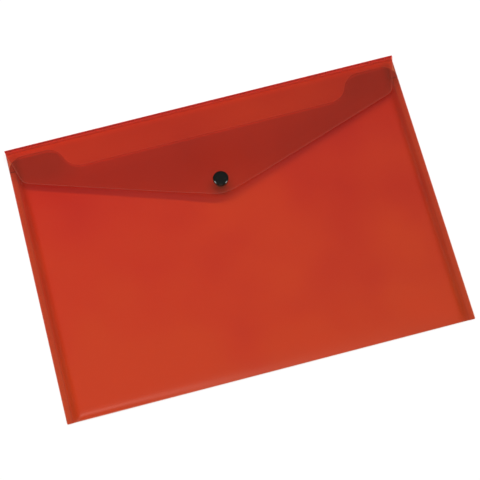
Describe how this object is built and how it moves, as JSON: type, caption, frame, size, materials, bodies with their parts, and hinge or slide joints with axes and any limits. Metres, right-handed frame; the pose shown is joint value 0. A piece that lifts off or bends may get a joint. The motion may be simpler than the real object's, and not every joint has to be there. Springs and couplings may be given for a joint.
{
  "type": "document wallet",
  "caption": "Flat A4 landscape document wallet in red see-through plastic sheet: a welded pocket with a thumb cut-out and a V-shaped flap that a press stud holds closed.",
  "frame": {"origin": "middle of the wallet's outline, on the surface that its back lies on", "axes": "+X across the wallet along the crease, +Y from the bottom fold to the crease, +Z out of the front, up"},
  "size_m": [0.335, 0.238, 0.0108],
  "materials": {
    "sheet": "translucent red polypropylene sheet, satin",
    "popper": "moulded black plastic, glossy"
  },
  "bodies": {
    "pocket": {"back_panel": "sheet", "front_panel": "sheet", "bottom_fold": "sheet", "left_side_weld": "sheet", "right_side_weld": "sheet", "flap_crease": "sheet", "popper_stud": "popper", "popper_rivet": "popper"},
    "flap": {"flap": "sheet", "popper_cap": "popper", "popper_socket": "popper"}
  },
  "joints": [
    {"name": "flap_hinge", "type": "hinge", "parent": "pocket", "child": "flap", "pos_m": [0, 0.11625, 0.00275], "axis": [-1, 0, 0], "range_deg": [0, 170], "deforming": ["flap_crease"]}
  ]
}
